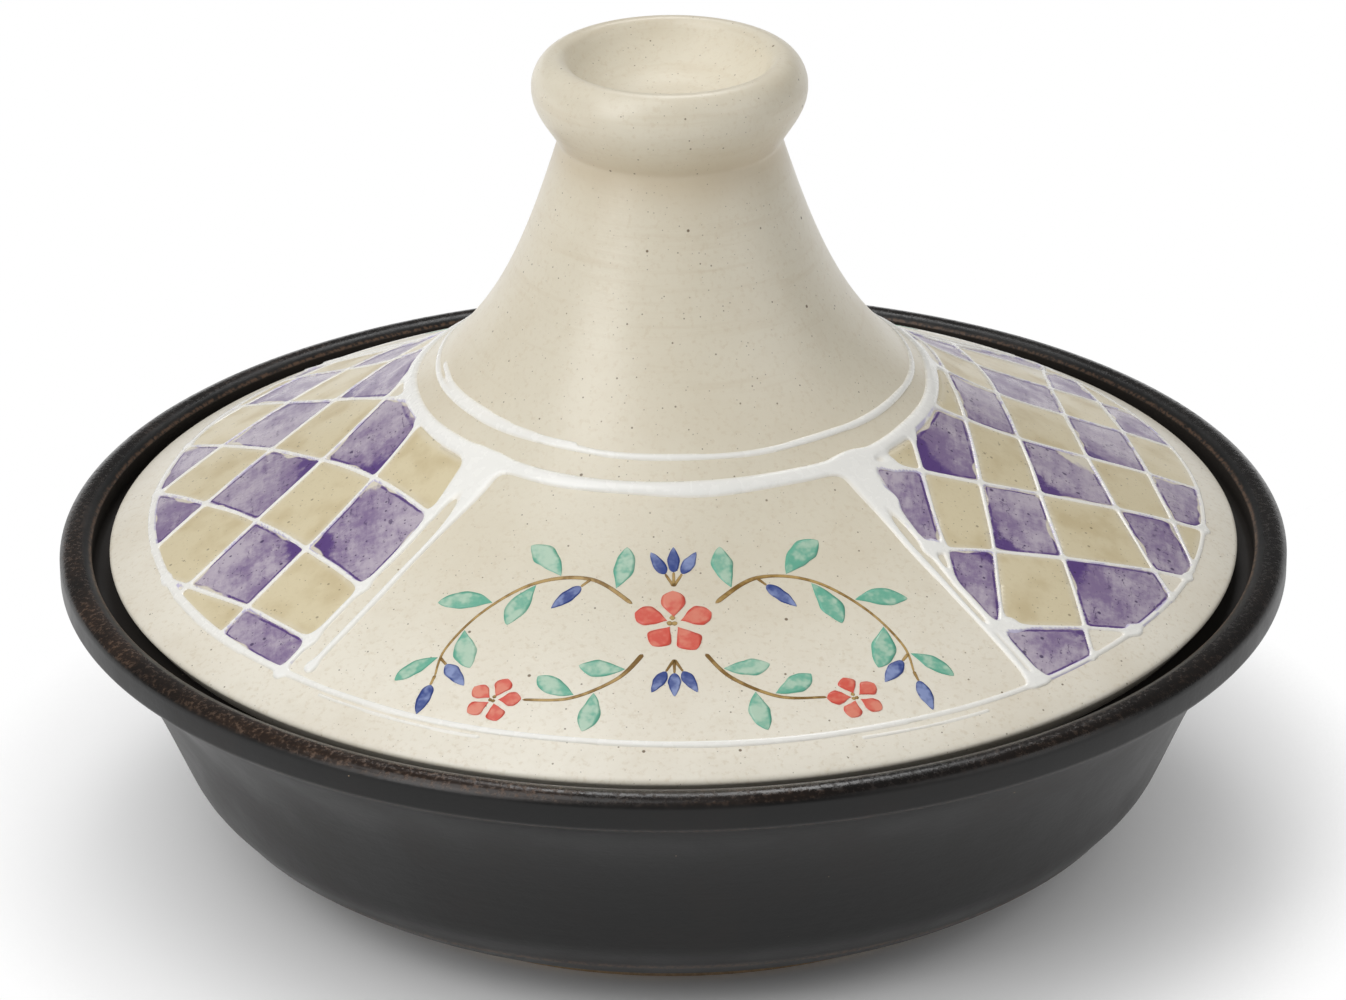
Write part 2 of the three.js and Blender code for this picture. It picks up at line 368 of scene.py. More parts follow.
def lid_outside(size):
    """Outside of the lid from its widest edge up to the crease under the knob."""
    ring = size.radius - size.shoulder_inset
    cone_top = size.seat_height + size.cone_height
    edge = Section(size.radius, size.seat_height + size.edge_height)
    brim = size.seat_height + size.edge_height + BRIM_RISE * size.edge_turn
    edge.curve_to(size.radius - size.edge_turn, brim, UPRIGHT, BRIM)
    edge.curve_to(ring, size.seat_height + size.shoulder_height, BRIM, size.shoulder_heading)
    cone = Section(*edge.points[-1])
    cone.curve_to(size.cone_radius, cone_top, size.shoulder_heading, size.cone_heading)
    cone.curve_to(size.neck_radius, cone_top + size.neck_height, size.cone_heading, size.neck_heading)
    return edge.points, cone.points


def lid_section(size):
    """Hollow, seat, outside, knob and cup of the lid."""
    seat_outside = size.radius - size.edge_bevel
    edge_height = size.seat_height + size.edge_height
    crest = size.knob_radius - size.knob_crest
    cup_height = size.knob_top - size.cup_depth
    hollow_top = cup_height - size.cup_floor
    edge, cone = lid_outside(size)
    hollow = [p for p in inset(cone, size.wall) if p[1] < hollow_top - size.wall][::-1]
    section = (
        Section(0, hollow_top)
        .curve_to(*hollow[0], 2 * HALF_TURN, size.neck_heading + HALF_TURN)
        .follow(hollow[1:])
        .line_to(seat_outside - size.seat_width, size.seat_height)
        .line_to(seat_outside, size.seat_height)
        .line_to(size.radius - BEVEL_IN * size.edge_turn, edge_height - BEVEL_DOWN * size.edge_turn)
        .curve_to(size.radius, edge_height, BEVEL, UPRIGHT)
        .follow(edge[1:])
        .follow(cone[1:])
        .curve_to(size.knob_radius, size.knob_top - size.knob_round, size.knob_heading, KNOB_SIDE)
        .curve_to(crest, size.knob_top, KNOB_SIDE, HALF_TURN)
        .curve_to(crest - size.cup_inset, size.knob_top - size.cup_edge, HALF_TURN, CUP_SIDE)
        .curve_to(0, cup_height, CUP_SIDE, HALF_TURN)
    )
    return eased(section.points, size.ease)


# Meshes


def out_of_round(places, seed):
    """Moves places a little in and out round the axis, as hands leave a thrown pot."""
    dice = random.Random(seed)
    angle = np.arctan2(places[:, 1], places[:, 0])
    share = sum(UNROUND / k * np.cos(k * angle + dice.uniform(0, WAVE)) for k in (2, 3, 5))
    return places * np.column_stack([1 + share, 1 + share, np.ones_like(share)])


def make_piece(name, places, faces, body, material, traits):
    """Links a smooth mesh that rides on a body of the frame. Traits are numbers for each place."""
    mesh = bpy.data.meshes.new(name)
    mesh.from_pydata(places.tolist(), [], faces)
    for trait, values in traits.items():
        mesh.attributes.new(trait, "FLOAT", "POINT").data.foreach_set("value", np.asarray(values, np.float32))
    mesh.shade_smooth()
    mesh.materials.append(material)
    piece = bpy.data.objects.new(name, mesh)
    bpy.context.scene.collection.objects.link(piece)
    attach(piece, body)
    return piece


def on_lid(name, mesh, material):
    """The lid or a piece on it, from places, faces and traits, with the lid's uneven roundness."""
    places, faces, traits = mesh
    return make_piece(name, out_of_round(places, LID_THROW), faces, "cover", material, traits)


def turned(section, traits):
    """Places, faces and traits of a half section turned about the upright axis. Its ends lie on the axis."""
    rings = len(section) - 2
    angles = np.arange(TURNS) * 2 * math.pi / TURNS
    radius, height = section[1:-1, 0], section[1:-1, 1]
    ring_places = np.stack(
        [
            radius[:, None] * np.cos(angles),
            radius[:, None] * np.sin(angles),
            np.repeat(height[:, None], TURNS, axis=1),
        ],
        axis=-1,
    ).reshape(-1, 3)
    first, last = rings * TURNS, rings * TURNS + 1
    places = np.vstack([ring_places, [0, 0, section[0, 1]], [0, 0, section[-1, 1]]])
    faces = []
    for turn in range(TURNS):
        after = (turn + 1) % TURNS
        top = (rings - 1) * TURNS
        faces.append((first, after, turn))
        faces.append((last, top + turn, top + after))
        for base in range(0, top, TURNS):
            faces.append((base + turn, base + after, base + TURNS + after, base + TURNS + turn))
    spread = {
        trait: np.concatenate([np.repeat(values[1:-1], TURNS), values[[0, -1]]])
        for trait, values in traits.items()
    }
    return places, faces, spread


def shell(surface, plan, faces, rise, root):
    """A thin closed skin over places in plan on the lid. Its top stands rise proud, its back root deep."""
    count = len(plan)
    edges = np.concatenate([faces[:, [i, (i + 1) % 4]] for i in range(4)])
    _, back, times = np.unique(np.sort(edges, axis=1), axis=0, return_inverse=True, return_counts=True)
    border = edges[times[back.ravel()] == 1]
    walls = np.column_stack([border + count, border[:, ::-1]])
    places = np.vstack([surface.lay(plan, rise), surface.lay(plan, -root)])
    return places, np.vstack([faces, faces[:, ::-1] + count, walls]).tolist()


class LidSurface:
    """The outside of the lid, on which slip and colour are laid."""

    def __init__(self, size):
        edge, cone = lid_outside(size)
        outside = np.array([*edge, *cone[1:]])[::-1]
        self.radius, self.height = outside.T
        self.slope = np.gradient(self.height, self.radius)

    def lay(self, plan, rise):
        """Places above or below places in plan, measured square to the surface."""
        x, y = plan.T
        radius = np.hypot(x, y)
        slope = np.interp(radius, self.radius, self.slope)
        up = rise / np.sqrt(1 + slope**2)
        out = -slope * up / radius
        return np.column_stack([x + x * out, y + y * out, np.interp(radius, self.radius, self.height) + up])


def polar(radius, azimuth):
    """A place in plan. Azimuth 0 is at the front, and 90 degrees is at the right."""
    return np.array([radius * math.sin(azimuth), -radius * math.cos(azimuth)])


def ring_grid(inside, outside, step):
    """A grid of places in plan between two radii, and its faces."""
    rows = math.ceil((outside - inside) / step) + 1
    columns = math.ceil(math.pi * (outside + inside) / step)
    azimuths = np.arange(columns) * 2 * math.pi / columns - math.pi
    radius, azimuth = np.meshgrid(np.linspace(inside, outside, rows), azimuths, indexing="ij")
    plan = np.column_stack([(radius * np.sin(azimuth)).ravel(), (-radius * np.cos(azimuth)).ravel()])
    index = np.arange(rows * columns).reshape(rows, columns)
    beside = np.roll(index, -1, axis=1)
    faces = np.stack([index[:-1], index[1:], beside[1:], beside[:-1]], axis=-1).reshape(-1, 4)
    return plan, faces


def only_used(faces, *columns):
    """The faces numbered again for the places that they use, and those places' rows of each column."""
    used, numbered = np.unique(faces, return_inverse=True)
    return (numbered.reshape(faces.shape), *[column[used] for column in columns])


# Ornament

# Middles of the rings off the axis, in millimetres to the right and to the front
UPPER_OFF = (0.5, 0)
MIDDLE_OFF = (0.1, 0.5)
OUTER_OFF = (0.8, 0.2)

# The two strokes at each border, clockwise from the left front: azimuths of start and finish in degrees,
# and how many millimetres a stroke stops short of the outer ring
BORDERS = (
    ((-45.8, -45.2, 0), (-41.0, -42.5, 3.4)),
    ((-137.0, -136.2, 0), (-133.0, -133.4, 0)),
    ((133.2, 133.6, 0), (137.2, 136.0, 2.5)),
    ((42.8, 41.1, 0), (39.3, 40.0, 0)),
)
BORDER_START = 2 * MM  # out from the middle ring
BORDER_END = 1.2 * MM  # reach of the blob at a stroke's end

# Puddles of slip: radius in millimetres, azimuth in degrees and reach in millimetres
PUDDLES = ((57, 49.5, 1.7), (74.5, 43.6, 1.9), (95.5, 43.4, 2.1), (63, 43.2, 1.2))

LATTICE_REACH = 8  # lines on each side of a lattice's node
STRAY, SLANT = 0.03, 0.012  # most that a line of a lattice strays, in checks
SMALLEST_CHECK = 2.2  # in millimetres from the middle to a line; smaller scraps stay bare
SPRAY_MIDDLE = 81 * MM  # middle of a spray from the axis
SPRAY_SQUASH = 0.88  # plan of a spray, because the lid slopes
PAINT_ORDER = ("stems", "leaves", "buds", "petals")  # from the lowest film to the highest
LEAF_GAP = 0.8 * MM  # from a stem to the root of a leaf


def ring_radius(radius, off, azimuth):
    """Distance from the axis of a ring about a middle that lies off it."""
    return radius + MM * (off[0] * np.sin(azimuth) + off[1] * np.cos(azimuth))


def waver(along, dice, reach):
    """A slow wander of the hand along a stroke."""
    waves = [(dice.uniform(18, 26), 0.5), (dice.uniform(36, 50), 0.9)]
    return reach * sum(
        share * np.sin(along / (pitch * MM) * WAVE + dice.uniform(0, WAVE)) for pitch, share in waves
    )


class Check:
    """A side panel of the lid and its lattice. The border at the greater azimuth comes first."""

    def __init__(self, node, first, second, borders, ornament, purple, seed, last=LATTICE_REACH):
        self.node = np.array(node) * MM
        self.axes = np.array([first, second]).T * MM
        self.borders = borders
        self.inside = ornament.middle_ring + ornament.thick_line / 2
        self.outside = ornament.outer_ring
        self.purple = purple
        dice = random.Random(seed)
        area = abs(np.linalg.det(self.axes))
        self.spacing = [area / np.linalg.norm(self.axes[:, 1 - i]) for i in (0, 1)]
        self.lines = [
            [
                (k + dice.uniform(-STRAY, STRAY), dice.uniform(-SLANT, SLANT), 0)
                for k in range(-LATTICE_REACH, end + 1)
            ]
            for end in (LATTICE_REACH, last)
        ]

    def cells(self, plan):
        """Place of each point in the lattice: two coordinates."""
        return np.linalg.solve(self.axes, (plan - self.node).T)

    def offsets(self, cells, way):
        """Signed distance of each point from each line that runs one way."""
        here, along = cells[way], cells[1 - way]
        return [
            (here - start - (slant + bend * along) * along) * self.spacing[way]
            for start, slant, bend in self.lines[way]
        ]

    def column_row(self, cells):
        return [sum((offset > 0).astype(int) for offset in self.offsets(cells, way)) for way in (0, 1)]

    def depth(self, plan):
        """How far inside the panel each point lies."""
        radius = np.hypot(*plan.T)
        azimuth = np.arctan2(plan[:, 0], -plan[:, 1])
        depth = np.minimum(
            radius - ring_radius(self.inside, MIDDLE_OFF, azimuth),
            ring_radius(self.outside, OUTER_OFF, azimuth) - radius,
        )
        for (start, finish), side in zip(self.borders, (-1, 1)):
            along = (finish - start) / np.linalg.norm(finish - start)
            away = (plan - start) @ np.array([-along[1], along[0]])
            depth = np.minimum(depth, side * away)
        return depth


class SlipCoat:
    """Adds up how strongly slip gathers at places in plan. Strokes that meet run together with a fillet."""

    def __init__(self, plan, ornament):
        self.plan = plan
        self.radius = np.hypot(*plan.T)
        self.azimuth = np.arctan2(plan[:, 0], -plan[:, 1])
        self.gathered = np.zeros(len(plan))
        self.lifted = np.zeros(len(plan))
        self.dice = random.Random(ornament.seed)
        self.rise = ornament.slip_rise

    def add(self, distance, half_width, rise=1.0):
        near = np.exp(-math.log(2) * np.square(distance / half_width))
        self.gathered += near
        self.lifted += near * rise

    def ring(self, radius, width, rise=1.0, off=(0, 0), first=-180, last=180):
        """A ring, or a stretch of one in degrees, about a middle that lies off the axis."""
        waves = [(k, self.dice.uniform(0, WAVE)) for k in (3, 5, 11)]
        radius = ring_radius(radius, off, self.azimuth)
        radius += 0.1 * MM * sum(np.sin(k * self.azimuth + phase) for k, phase in waves)
        swell = 1 + 0.06 * sum(np.sin((k + 1) * self.azimuth + 2 * phase) for k, phase in waves)
        azimuth = np.degrees(self.azimuth)
        beyond = np.radians(np.maximum(np.maximum(first - azimuth, azimuth - last), 0)) * radius
        self.add(np.hypot(self.radius - radius, beyond), width / 2 * swell, rise)

    def line(self, start, finish, width, rise=1.0, flare=0.0, fade=9 * MM):
        """A straight stroke with rounded ends, wider at its start by a flare that fades out."""
        span = np.linalg.norm(finish - start)
        along = (finish - start) / span
        place = (self.plan - start) @ along
        away = (self.plan - start) @ np.array([-along[1], along[0]])
        beyond = np.maximum(np.maximum(-place, place - span), 0)
        swell = 1 + waver(place, self.dice, 0.12)
        half_width = width / 2 * swell + flare * np.exp(-np.square(place / fade))
        self.add(np.hypot(away + waver(place, self.dice, 0.16 * MM), beyond), half_width, rise)

    def spot(self, place, radius, rise=1.0):
        self.add(np.linalg.norm(self.plan - place, axis=1), radius, rise)

    def lattice(self, check, width):
        """The lines of a side panel, which stop at its borders, with puddles of slip at some ends."""
        cells = check.cells(self.plan)
        inside = check.depth(self.plan)
        for way in (0, 1):
            for offset in check.offsets(cells, way):
                along = cells[1 - way] * check.spacing[1 - way]
                swell = 1 + waver(along, self.dice, 0.12)
                distance = np.hypot(offset + waver(along, self.dice, 0.12 * MM), np.maximum(-inside, 0))
                self.add(distance, width / 2 * swell, 0.55)
                at_end = (np.abs(offset) < 0.5 * MM) & (np.abs(inside) < 0.4 * MM)
                for place in self.plan[at_end][:: max(1, at_end.sum() // 2)]:
                    if self.dice.random() < 0.6:
                        self.spot(place, self.dice.uniform(0.9, 1.6) * MM, 0.8)

    def height(self, root):
        """Height of the slip over the glaze. Where too little gathers, it dips under the glaze."""
        edge = 0.5
        share = (self.gathered - edge) / (1 - edge)
        dome = 1 - np.square(1 - np.clip(share, 0, 1))
        rise = self.rise * self.lifted / np.maximum(self.gathered, 1e-9)
        return np.where(share > 0, rise * dome, root * np.clip(3 * share, -0.8, 0))


def panel_borders(ornament):
    """Start and finish in plan of the two strokes at each border, clockwise from the left front."""
    top = ornament.middle_ring + BORDER_START
    low = ornament.outer_ring

    def ends(start, finish, short):
        return polar(top, math.radians(start)), polar(low - short * MM, math.radians(finish))

    return [[ends(*stroke) for stroke in strokes] for strokes in BORDERS]


def side_checks(ornament):
    """The left and the right panel. Lattice nodes and steps are in millimetres in plan."""
    left_front, left_back, right_back, right_front = panel_borders(ornament)
    left = Check(
        node=(-83.5, -25.3),
        first=(12.5, 13),
        second=(11, -16.3),
        borders=(left_front[0], left_back[1]),
        ornament=ornament,
        purple=1,
        seed=ornament.seed + 1,
        last=1,
    )
    right = Check(
        node=(75.3, -24.5),
        first=(13, 5.2),
        second=(-3.8, 19.3),
        borders=(right_back[0], right_front[0]),
        ornament=ornament,
        purple=0,
        seed=ornament.seed + 2,
    )
    left.lines[0][7] = (-1.07, 0.12, 0)  # some lines were drawn askew
    right.lines[0][7:10] = (-1.06, 0.14, -0.03), (-0.12, 0.03, 0), (1.1, -0.14, 0.06)
    return left, right


def washed_cells(check, surface, film, seed):
    """Places, faces and traits of the colour brushed into a panel, apart for odd and even checks."""
    dice = np.random.default_rng(seed)
    plan, faces = ring_grid(check.inside - 1 * MM, check.outside + 1 * MM, WASH_GRID)
    depth = check.depth(plan)
    faces = faces[(depth[faces] > -0.4 * MM).all(axis=1)]
    cells = check.cells(plan)
    column, row = check.column_row(check.cells(plan[faces].mean(axis=1)))
    made = {0: [], 1: []}
    nearest = np.min([np.min(np.abs(check.offsets(cells, way)), axis=0) for way in (0, 1)], axis=0)
    edge = np.minimum(nearest, np.abs(depth)) / MM
    for key in sorted(set(zip(column.tolist(), row.tolist()))):
        cell_faces, cell_plan, cell_edge, cell_place = only_used(
            faces[(column == key[0]) & (row == key[1])], plan, edge, cells.T
        )
        if cell_edge.max() < SMALLEST_CHECK:
            continue
        place = cell_place - cell_place.mean(axis=0)
        pooled, dry = [toward(math.pi / 4 + math.pi / 2 * corner) for corner in dice.permutation(4)[:2]]
        traits = {
            "edge": cell_edge,
            "pool": 1.4 * place @ pooled + dice.uniform(-0.25, 0.12),
            "dry": 1.4 * place @ dry + dice.uniform(-0.9, 0.1),
            "tone": np.full(len(cell_plan), dice.uniform()),
        }
        skin = shell(surface, cell_plan, cell_faces, film, film)
        made[(sum(key) + check.purple) % 2].append((*skin, traits))
    return made


def joined(parts):
    """Several meshes as one: places, faces and traits. A shell's two sides share their traits."""
    places, faces, traits, count = [], [], {}, 0
    for part_places, part_faces, part_traits in parts:
        places.append(part_places)
        faces += [[index + count for index in face] for face in part_faces]
        for trait, values in part_traits.items():
            traits.setdefault(trait, []).append(np.tile(values, len(part_places) // len(values)))
        count += len(part_places)
    return np.vstack(places), faces, {trait: np.concatenate(values) for trait, values in traits.items()}


class Spray:
    """Brush strokes of one panel, laid out about its middle: x runs to the right and y towards the neck."""

    def __init__(self, surface, film, middle, turn, seed):
        self.surface = surface
        self.films = {name: film * (1 + 0.4 * order) for order, name in enumerate(PAINT_ORDER)}
        self.middle = middle
        self.turn = np.array([[math.cos(turn), -math.sin(turn)], [math.sin(turn), math.cos(turn)]])
        self.dice = random.Random(seed)
        self.strokes = {name: [] for name in self.films}

    def stroke(self, colour_name, spine, half_width):
        """A stroke along a spine of places. Half its width is given for each place."""
        along = np.gradient(spine, axis=0)
        along /= np.linalg.norm(along, axis=1)[:, None]
        side = np.column_stack([-along[:, 1], along[:, 0]])
        across = np.linspace(-1, 1, STROKE_RIBS)
        uneven = 1 + waver(np.linspace(0, 0.06, len(spine)), self.dice, 0.06)
        half_width = np.maximum(half_width * uneven, 0.04 * MM)
        local = spine[:, None, :] + side[:, None, :] * (half_width[:, None] * across)[:, :, None]
        plan = (local.reshape(-1, 2) * (1, SPRAY_SQUASH) + (0, -self.middle)) @ self.turn.T
        index = np.arange(len(plan)).reshape(len(spine), STROKE_RIBS)
        corners = index[:-1, :-1], index[1:, :-1], index[1:, 1:], index[:-1, 1:]
        faces = np.stack(corners, axis=-1).reshape(-1, 4)
        traits = {
            "across": np.tile(np.abs(across), len(spine)),
            "along": np.repeat(np.linspace(0, 1, len(spine)), STROKE_RIBS),
            "tone": np.full(len(plan), self.dice.random()),
        }
        film = self.films[colour_name]
        self.strokes[colour_name].append((*shell(self.surface, plan, faces, film, film), traits))

    def dab(self, colour_name, root, angle, span, width, fullness=0.9, bend=0.0):
        """A leaf, petal or bud: one press of the brush from its root."""
        t = np.linspace(0, 1, STROKE_STEPS)
        aim = angle + bend * (t - 0.5)
        steps = np.column_stack([np.cos(aim), np.sin(aim)]) * span / STROKE_STEPS
        spine = root + np.cumsum(steps, axis=0) - steps[0]
        self.stroke(colour_name, spine, width / 2 * np.sin(math.pi * t**fullness) ** 0.75)

    def stem(self, spine, width, taper=0.6):
        t = np.linspace(0, 1, len(spine))
        ends = np.clip(np.minimum(t, 1 - t) * 30, 0, 1) ** 0.5
        self.stroke("stems", spine, width / 2 * (1 - taper * t) * ends)

    def fork(self, stem, share, away):
        """A place along a stem, and the direction of a branch that leaves it by some degrees."""
        at = round(share * (len(stem) - 1))
        ahead = stem[min(at + 1, len(stem) - 1)] - stem[at - 1]
        return stem[at], math.atan2(ahead[1], ahead[0]) + math.radians(away)

    def twig(self, root, angle, span, width):
        """A short straight stem. Returns its tip."""
        spine = root + np.linspace(0, span, STEM_STEPS)[:, None] * toward(angle)
        self.stem(spine, width, 0.3)
        return spine[-1]

    def flower(self, middle, petal, turn):
        """Five round petals about a few umber dots."""
        for k in range(5):
            angle = turn + k * math.tau / 5 + self.dice.uniform(-0.08, 0.08)
            root = middle + 0.22 * petal * toward(angle)
            self.dab("petals", root, angle, petal * self.dice.uniform(0.92, 1.08), 0.78 * petal, 1.5)
        for k in range(3):
            spot = middle + 0.1 * petal * toward(turn + 0.5 + k * math.tau / 3)
            self.dab("stems", spot, turn + k, 0.2 * petal, 0.17 * petal)


def through(places):
    """A smooth run of places in millimetres through the given ones."""
    places = np.array([places[0], *places, places[-1]], float) * MM
    t = np.linspace(0, 1, STEM_STEPS, endpoint=False)[:, None]
    runs = [
        0.5 * (2 * b + (c - a) * t + (2 * a - 5 * b + 4 * c - d) * t**2 + (3 * b - a - 3 * c + d) * t**3)
        for a, b, c, d in zip(places, places[1:], places[2:], places[3:])
    ]
    return np.vstack([*runs, places[-1:]])


def draw_garland(spray, ornament):
    """A flower in the middle, and on each side an arching spray with buds over a low one with a flower."""
    leaf, bud, petal, thin = ornament.leaf, ornament.bud, ornament.petal, 0.7 * ornament.stem
    spray.flower(np.array([0, 0]) * MM, petal, math.radians(90))
    for side in (-1, 1):
        arch = through([(side * x, y) for x, y in ((8, 5), (16, 12), (27, 13), (37, 8), (44, 0), (46, -7))])
        spray.stem(arch, ornament.stem)
        upper_leaves = ((0.1, 58, 0.9), (0.3, 52, 1), (0.38, -50, 0.95))
        lower_leaves = ((0.55, 50, 0.95), (0.68, -48, 1), (0.84, 46, 0.8))
        for share, away, size in upper_leaves + lower_leaves:
            root, angle = spray.fork(arch, share, side * away)
            root = root + LEAF_GAP * toward(angle)
            size *= leaf * spray.dice.uniform(0.94, 1.06)
            spray.dab("leaves", root, angle, size, 0.4 * size, 1.25, -0.4 * side)
        for share, away in ((0.2, -62), (0.86, -46), (0.99, 8)):
            root, angle = spray.fork(arch, share, side * away)
            tip = spray.twig(root, angle, 2.5 * MM, thin)
            spray.dab("buds", tip, angle, bud, 0.38 * bud, 0.75)
        low = through([(side * x, y) for x, y in ((6, -8), (11, -14), (20, -18), (29, -17))])
        spray.stem(low, ornament.stem, 0.4)
        for share, away, size in ((0.22, 62, 0.8), (0.5, -52, 0.85), (0.62, 55, 0.8)):
            root, angle = spray.fork(low, share, side * away)
            root = root + LEAF_GAP * toward(angle)
            spray.dab("leaves", root, angle, size * leaf, 0.36 * leaf, 1.25, 0.4 * side)
        spray.flower(low[-1] + np.array([side * 5.6, 1]) * MM, 0.7 * petal, math.radians(90 + side * 30))
    for lean in (-28, 0, 28):
        tip = spray.twig(np.array([0, 9]) * MM, math.radians(90 - lean), 3.5 * MM, thin)
        spray.dab("buds", tip, math.radians(90 - lean), 0.8 * bud, 0.32 * bud, 0.75)
        tip = spray.twig(np.array([0, -9.5]) * MM, math.radians(lean - 90), 3.5 * MM, thin)
        spray.dab("buds", tip, math.radians(lean - 90), 0.8 * bud, 0.32 * bud, 0.75)


# Finishes


class Finish:
    """A node material in the making. Patterns are fixed to the object and measured in metres."""

    def __init__(self, name):
        self.material = bpy.data.materials.new(name)
        self.material.use_nodes = True
        self.tree = self.material.node_tree
        self.shader = self.tree.nodes["Principled BSDF"]
        self.place = self.add("ShaderNodeTexCoord").outputs["Object"]

    def add(self, kind, inputs=(), **settings):
        node = self.tree.nodes.new(kind)
        for name, value in settings.items():
            setattr(node, name, value)
        for name, value in dict(inputs).items():
            self.put(value, node.inputs[name])
        return node

    def put(self, value, socket):
        """Links an output to a socket, or sets the socket to a value."""
        if isinstance(value, bpy.types.NodeSocket):
            self.tree.links.new(value, socket)
        else:
            socket.default_value = value

    def set(self, **sockets):
        """Values or links for the shader's sockets, such as base_color."""
        for name, value in sockets.items():
            self.put(value, self.shader.inputs[name.replace("_", " ").title().replace("Ior", "IOR")])

    def trait(self, name):
        return self.add("ShaderNodeAttribute", attribute_name=name).outputs["Fac"]

    def calc(self, operation, first, second=0.5, third=0.5):
        """A Math node."""
        return self.add("ShaderNodeMath", {0: first, 1: second, 2: third}, operation=operation).outputs[0]

    def fade(self, value, low, high, start=0.0, finish=1.0):
        """Eases from start, at low, to finish, at high."""
        limits = {"Value": value, "From Min": low, "From Max": high, "To Min": start, "To Max": finish}
        return self.add("ShaderNodeMapRange", limits, interpolation_type="SMOOTHSTEP").outputs["Result"]

    def mix(self, share, first, second):
        """A blend of two colours by the share of the second."""
        node = self.add("ShaderNodeMix", data_type="RGBA")
        for value, index in ((share, 0), (first, 6), (second, 7)):
            self.put(value, node.inputs[index])
        return node.outputs[2]

    def stretched(self, x, y, z):
        return self.add("ShaderNodeMapping", {"Vector": self.place, "Scale": (x, y, z)}).outputs["Vector"]

    def noise(self, size, detail=2.0, roughness=0.5, place=None):
        """Clouds of a given size."""
        inputs = {"Vector": place or self.place, "Scale": 1 / size, "Detail": detail, "Roughness": roughness}
        return self.add("ShaderNodeTexNoise", inputs).outputs["Fac"]

    def specks(self, pitch, radius, share):
        """Round specks scattered through the glaze, in a share of cells that are a pitch wide."""
        cells = self.add("ShaderNodeTexVoronoi", {"Vector": self.place, "Scale": 1 / pitch})
        chance = self.add("ShaderNodeSeparateColor", {"Color": cells.outputs["Color"]})
        picked = self.calc("LESS_THAN", chance.outputs["Red"], share)
        size = self.fade(chance.outputs["Green"], 0, 1, 0.35, 1.0)
        reach = self.calc("DIVIDE", cells.outputs["Distance"], size)
        dot = self.fade(reach, 0.6 * radius / pitch, radius / pitch, 1.0, 0.0)
        return self.calc("MULTIPLY", dot, picked)

    def bump(self, height, distance, strength=1.0, under=None):
        inputs = {"Height": height, "Distance": distance, "Strength": strength}
        if under:
            inputs["Normal"] = under
        return self.add("ShaderNodeBump", inputs).outputs["Normal"]


def black_glaze(colours):
    """Satin black glaze that breaks to brown over edges, with bare clay on the foot, and painted light on the
    crest of the lip and in the gallery.
    """
    finish = Finish("black_glaze")
    cloud = finish.noise(22 * MM, 3)
    grain = finish.noise(0.9 * MM, 3, 0.6)
    tone = finish.mix(finish.fade(cloud, 0.4, 0.72), colours.black, colours.black_warm)
    where = finish.add("ShaderNodeSeparateXYZ", {"Vector": finish.place}).outputs
    # The crest's brown is the glaze's own colour, but it is kept to the left front, the side that the front
    # lamp lights, and turns brown-black at the right and back: partly painted light.
    crest_lamp_side = finish.fade(finish.noise(24 * MM, 3), 0.34, 0.6, 0.2, 1.0)
    crest_lamp_side = finish.calc("MULTIPLY", crest_lamp_side, finish.fade(where["X"], -0.06, 0.06, 1.0, 0.25))
    crest_lamp_side = finish.calc("MULTIPLY", crest_lamp_side, finish.fade(where["Y"], -0.07, 0.02, 1.0, 0.3))
    rust = finish.fade(finish.noise(1.1 * MM, 4, 0.65), 0.46, 0.72)
    crest_brown_lamp_side = finish.mix(crest_lamp_side, colours.brown_black, colours.brown)
    crest_brown_lamp_side = finish.mix(finish.calc("MULTIPLY", rust, crest_lamp_side), crest_brown_lamp_side, colours.broken)
    crest = finish.trait("crest")
    # Painted light: the shaded gallery gets a lighter black.
    tone = finish.mix(finish.trait("gallery"), tone, colours.gallery_painted_light)
    tone = finish.mix(finish.fade(crest, 0.2, 0.8), tone, crest_brown_lamp_side)
    granular = finish.fade(grain, 0.36, 0.62, 0.25, 1.0)
    worn = finish.calc("MULTIPLY", finish.trait("glaze_thin"), granular)
    tone = finish.mix(finish.fade(worn, 0.05, 0.7, 0, 0.85), tone, colours.broken)
    tone = finish.mix(finish.calc("MULTIPLY", finish.specks(7 * MM, 0.3 * MM, 0.5), 0.7), tone, colours.clay)
    ragged = finish.calc("ADD", finish.trait("bare_clay"), finish.calc("MULTIPLY_ADD", cloud, 0.5, -0.25))
    bare = finish.fade(ragged, 0.42, 0.58)
    clay = finish.mix(finish.fade(grain, 0.3, 0.7, 0, 0.35), colours.clay, colours.broken)
    tone = finish.mix(bare, tone, clay)
    satin = finish.fade(cloud, 0.3, 0.7, 0.34, 0.46)
    satin = finish.calc("MULTIPLY_ADD", crest, finish.fade(rust, 0, 1, -0.2, 0), satin)
    satin = finish.calc("MULTIPLY_ADD", finish.trait("gallery"), 0.25, satin)
    rings = finish.noise(1.4 * MM, 2, 0.5, finish.stretched(0.04, 0.04, 1))
    relief = finish.bump(finish.noise(3.2 * MM, 2), 0.05 * MM)
    relief = finish.bump(rings, 0.025 * MM, 1, relief)
    crusty = finish.calc("MULTIPLY_ADD", finish.calc("MULTIPLY", crest, rust), 0.8, grain)
    relief = finish.bump(crusty, 0.025 * MM, 1, relief)
    finish.set(
        base_color=tone,
        roughness=finish.calc("MULTIPLY_ADD", bare, 0.4, satin),
        normal=relief,
        specular_ior_level=0.32,
    )
    return finish.material


